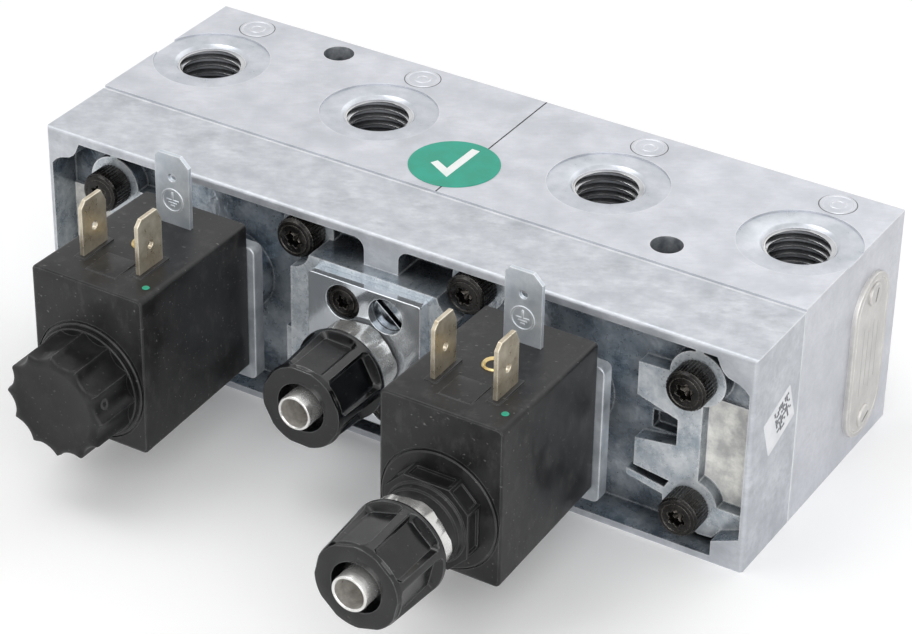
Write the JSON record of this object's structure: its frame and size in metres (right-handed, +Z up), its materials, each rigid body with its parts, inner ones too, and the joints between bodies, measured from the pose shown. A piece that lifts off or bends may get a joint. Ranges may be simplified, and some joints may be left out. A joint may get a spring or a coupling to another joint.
{
  "type": "pneumatic solenoid valve",
  "caption": "Die-cast pneumatic valve block with a row of threaded ports on top and solenoid pilot valves, tube fittings and a throttle screw on its front.",
  "frame": {"origin": "middle of the block's flat bottom face, at the split of the two bodies", "axes": "+X along the length towards the nameplate end, +Y from the coils to the back, +Z up through the ports"},
  "size_m": [0.1373, 0.1143, 0.051],
  "materials": {
    "casting": "die cast, blasted",
    "body": "die cast, machined top",
    "gasket": "matt",
    "screw": "black oxide",
    "plate": "zinc plated",
    "adapter": "bright plated",
    "coil": "fine texture",
    "nut": "semi gloss",
    "fitting": "nickel plated",
    "contact": "tinned",
    "tab": "zinc plated",
    "brass": "machined",
    "steel": "machined",
    "rubber": "matt",
    "copper": "enamelled wire",
    "alloy": "machined",
    "sticker": "printed film",
    "label": "paper film"
  },
  "bodies": {
    "block": {"front_casting": "casting", "body_gasket": "gasket", "housing_screws": "screw", "channel_plug": "steel", "exhaust_fitting": "fitting", "adapter_plate": "adapter", "adapter_screws": "screw", "control_fitting": "fitting", "control_seal": "rubber", "nameplate": "alloy", "nameplate_rivets": "steel", "test_sticker": "sticker", "code_label": "label", "valve_body_left": "body", "valve_body_right": "body", "base_plate_left": "plate", "base_plate_right": "plate", "armature_tube_left": "steel", "armature_tube_right": "steel", "valve_seat_left": "brass", "valve_seat_right": "brass", "fixed_core_left": "steel", "fixed_core_right": "steel", "plunger_spring_left": "steel", "plunger_spring_right": "steel", "coil_left": "coil", "coil_right": "coil", "coil_winding_left": "copper", "coil_winding_right": "copper", "coil_blades_left": "contact", "coil_blades_right": "contact", "earth_tab_left": "tab", "earth_tab_right": "tab", "terminal_insert_left": "brass", "terminal_insert_right": "brass", "spool_spring_left": "steel", "spool_spring_right": "steel", "end_plug_left": "alloy", "end_plug_right": "alloy", "plug_ring_left": "rubber", "plug_ring_right": "rubber"},
    "plunger_left": {"plunger_left": "steel", "plunger_seals_left": "rubber"},
    "plunger_right": {"plunger_right": "steel", "plunger_seals_right": "rubber"},
    "spool_left": {"spool_left": "alloy", "spool_rings_left": "rubber"},
    "spool_right": {"spool_right": "alloy", "spool_rings_right": "rubber"},
    "throttle_screw": {"throttle_screw": "fitting"},
    "cap_nut": {"cap_nut": "nut"},
    "coil_nut": {"coil_nut": "nut"},
    "union_nut_right": {"union_nut_right": "nut"},
    "union_nut_middle": {"union_nut_middle": "nut"}
  },
  "joints": [
    {"name": "plunger_left_pull", "type": "slide", "parent": "block", "child": "plunger_left", "axis": [0, -1, 0], "range_m": [0, 0.0011], "stiffness_N_per_m": 500, "springref_m": -0.006, "deforming": ["plunger_spring_left"]},
    {"name": "spool_left_shift", "type": "slide", "parent": "block", "child": "spool_left", "axis": [-1, 0, 0], "range_m": [0, 0.0075], "stiffness_N_per_m": 400, "springref_m": -0.01, "deforming": ["spool_spring_left"]},
    {"name": "plunger_right_pull", "type": "slide", "parent": "block", "child": "plunger_right", "axis": [0, -1, 0], "range_m": [0, 0.0011], "stiffness_N_per_m": 500, "springref_m": -0.006, "deforming": ["plunger_spring_right"]},
    {"name": "spool_right_shift", "type": "slide", "parent": "block", "child": "spool_right", "axis": [1, 0, 0], "range_m": [0, 0.0075], "stiffness_N_per_m": 400, "springref_m": -0.01, "deforming": ["spool_spring_right"]},
    {"name": "throttle_turn", "type": "hinge", "parent": "block", "child": "throttle_screw", "pos_m": [0.0041, -0.03, 0.029], "axis": [0, 1, 0], "range_deg": [-360, 360]},
    {"name": "cap_nut_turn", "type": "hinge", "parent": "block", "child": "cap_nut", "pos_m": [-0.033, -0.066, 0.0203], "axis": [0, 1, 0], "continuous": true},
    {"name": "coil_nut_turn", "type": "hinge", "parent": "block", "child": "coil_nut", "pos_m": [0.033, -0.066, 0.0203], "axis": [0, 1, 0], "continuous": true},
    {"name": "union_nut_right_turn", "type": "hinge", "parent": "block", "child": "union_nut_right", "pos_m": [0.033, -0.08, 0.0203], "axis": [0, 1, 0], "continuous": true},
    {"name": "union_nut_middle_turn", "type": "hinge", "parent": "block", "child": "union_nut_middle", "pos_m": [0, -0.045, 0.0203], "axis": [0, 1, 0], "continuous": true}
  ]
}
